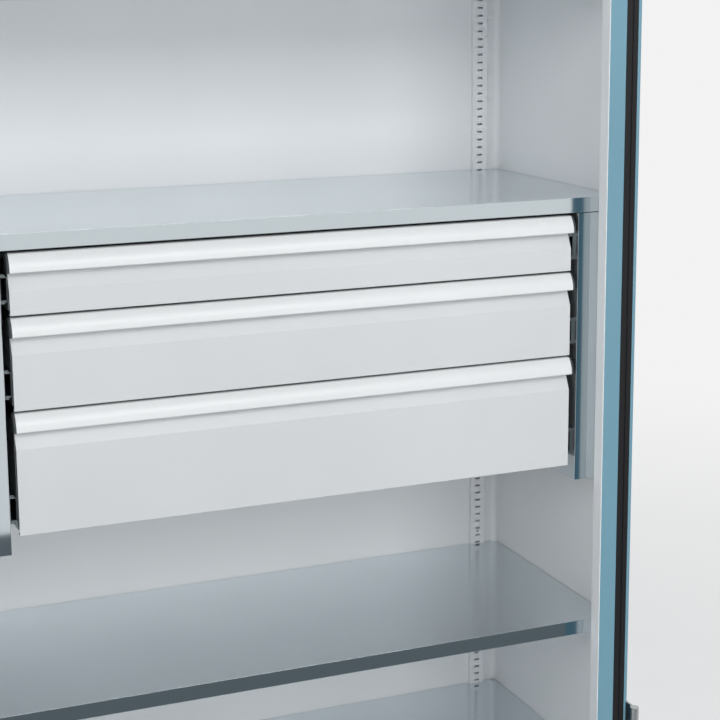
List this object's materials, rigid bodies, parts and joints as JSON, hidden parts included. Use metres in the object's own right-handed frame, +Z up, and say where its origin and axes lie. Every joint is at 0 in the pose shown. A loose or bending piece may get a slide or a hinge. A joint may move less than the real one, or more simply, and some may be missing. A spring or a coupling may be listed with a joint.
{
  "type": "storage cabinet",
  "caption": "Heavy-duty sheet-steel storage cabinet with slotted uprights, shelves, full-extension drawers and a pair of lockable doors that fold back along its sides.",
  "frame": {"origin": "on the floor, under the middle of the whole with its doors folded back", "axes": "+Z up, the open front faces -Y, +X to the right seen from the front"},
  "size_m": [1.2435, 0.638, 1.95],
  "materials": {
    "blue_paint": "smooth semi-gloss pastel blue",
    "grey_paint": "smooth semi-gloss light grey",
    "galvanised": "smooth galvanised sheet",
    "zinc": "zinc-plated",
    "black_strip": "matt black",
    "cap_plastic": "dark grey",
    "black_plastic": "black",
    "chrome": "polished"
  },
  "bodies": {
    "cabinet": {"side_panel_right": "blue_paint", "side_panel_left": "blue_paint", "front_posts": "blue_paint", "post_linings": "grey_paint", "edge_strips": "black_strip", "side_liners": "grey_paint", "back_liner": "grey_paint", "back_panel": "blue_paint", "floor_panel": "grey_paint", "sill_rail": "blue_paint", "head_rail": "blue_paint", "roof_cap": "blue_paint", "ceiling_panel": "grey_paint", "base_frame": "blue_paint", "levelling_feet": "black_plastic", "uprights": "grey_paint", "shelf_bottom": "galvanised", "shelf_lower": "galvanised", "shelf_cover": "galvanised", "shelf_upper": "galvanised", "shelf_brackets": "zinc", "drawer_housing_right": "galvanised", "drawer_housing_left": "galvanised", "housing_rivets": "zinc", "slides_fixed": "zinc", "hinges_fixed": "zinc"},
    "right_door": {"door_right_skin": "blue_paint", "door_right_pan": "grey_paint", "door_right_hinge_arms": "zinc", "lock_bowl": "black_plastic", "rod_guides": "black_plastic"},
    "left_door": {"door_left_skin": "blue_paint", "door_left_pan": "grey_paint", "door_left_hinge_arms": "zinc", "door_left_stop_strip": "grey_paint"},
    "grip": {"lock_grip": "black_plastic"},
    "barrel": {"lock_barrel": "chrome"},
    "rod_upper": {"lock_rod_upper": "zinc"},
    "rod_lower": {"lock_rod_lower": "zinc"},
    "drawer_top": {"drawer_top_front": "grey_paint", "drawer_top_handle": "grey_paint", "drawer_top_caps": "cap_plastic", "drawer_top_body": "galvanised", "drawer_top_slides": "zinc"},
    "carriage_top": {"slide_carriage_top": "zinc"},
    "drawer_middle": {"drawer_middle_front": "grey_paint", "drawer_middle_handle": "grey_paint", "drawer_middle_caps": "cap_plastic", "drawer_middle_body": "galvanised", "drawer_middle_slides": "zinc"},
    "carriage_middle": {"slide_carriage_middle": "zinc"},
    "drawer_bottom": {"drawer_bottom_front": "grey_paint", "drawer_bottom_handle": "grey_paint", "drawer_bottom_caps": "cap_plastic", "drawer_bottom_body": "galvanised", "drawer_bottom_slides": "zinc"},
    "carriage_bottom": {"slide_carriage_bottom": "zinc"}
  },
  "joints": [
    {"name": "right_door_swing", "type": "hinge", "parent": "cabinet", "child": "right_door", "pos_m": [0.613, -0.307, 1], "axis": [0, 0, 1], "range_deg": [-270, 0]},
    {"name": "left_door_swing", "type": "hinge", "parent": "cabinet", "child": "left_door", "pos_m": [-0.613, -0.307, 1], "axis": [0, 0, -1], "range_deg": [-270, 0]},
    {"name": "grip_turn", "type": "hinge", "parent": "right_door", "child": "grip", "pos_m": [0.605, 0.246, 1.05], "axis": [1, 0, 0], "range_deg": [-90, 0]},
    {"name": "key_turn", "type": "hinge", "parent": "grip", "child": "barrel", "pos_m": [0.605, 0.246, 1.05], "axis": [1, 0, 0], "range_deg": [0, 90]},
    {"name": "rod_upper_slide", "type": "slide", "parent": "right_door", "child": "rod_upper", "axis": [0, 0, -1], "range_m": [-0.016, 0]},
    {"name": "rod_lower_slide", "type": "slide", "parent": "right_door", "child": "rod_lower", "axis": [0, 0, 1], "range_m": [-0.016, 0]},
    {"name": "drawer_top_slide", "type": "slide", "parent": "cabinet", "child": "drawer_top", "axis": [0, -1, 0], "range_m": [0, 0.42]},
    {"name": "carriage_top_slide", "type": "slide", "parent": "cabinet", "child": "carriage_top", "axis": [0, -1, 0], "range_m": [0, 0.21]},
    {"name": "drawer_middle_slide", "type": "slide", "parent": "cabinet", "child": "drawer_middle", "axis": [0, -1, 0], "range_m": [0, 0.42]},
    {"name": "carriage_middle_slide", "type": "slide", "parent": "cabinet", "child": "carriage_middle", "axis": [0, -1, 0], "range_m": [0, 0.21]},
    {"name": "drawer_bottom_slide", "type": "slide", "parent": "cabinet", "child": "drawer_bottom", "axis": [0, -1, 0], "range_m": [0, 0.42]},
    {"name": "carriage_bottom_slide", "type": "slide", "parent": "cabinet", "child": "carriage_bottom", "axis": [0, -1, 0], "range_m": [0, 0.21]}
  ],
  "couplings": [
    {"joint": "grip_turn", "follows": "rod_upper_slide", "rad_per_m": 98.17},
    {"joint": "rod_lower_slide", "follows": "rod_upper_slide", "ratio": 1},
    {"joint": "carriage_top_slide", "follows": "drawer_top_slide", "ratio": 0.5},
    {"joint": "carriage_middle_slide", "follows": "drawer_middle_slide", "ratio": 0.5},
    {"joint": "carriage_bottom_slide", "follows": "drawer_bottom_slide", "ratio": 0.5}
  ]
}
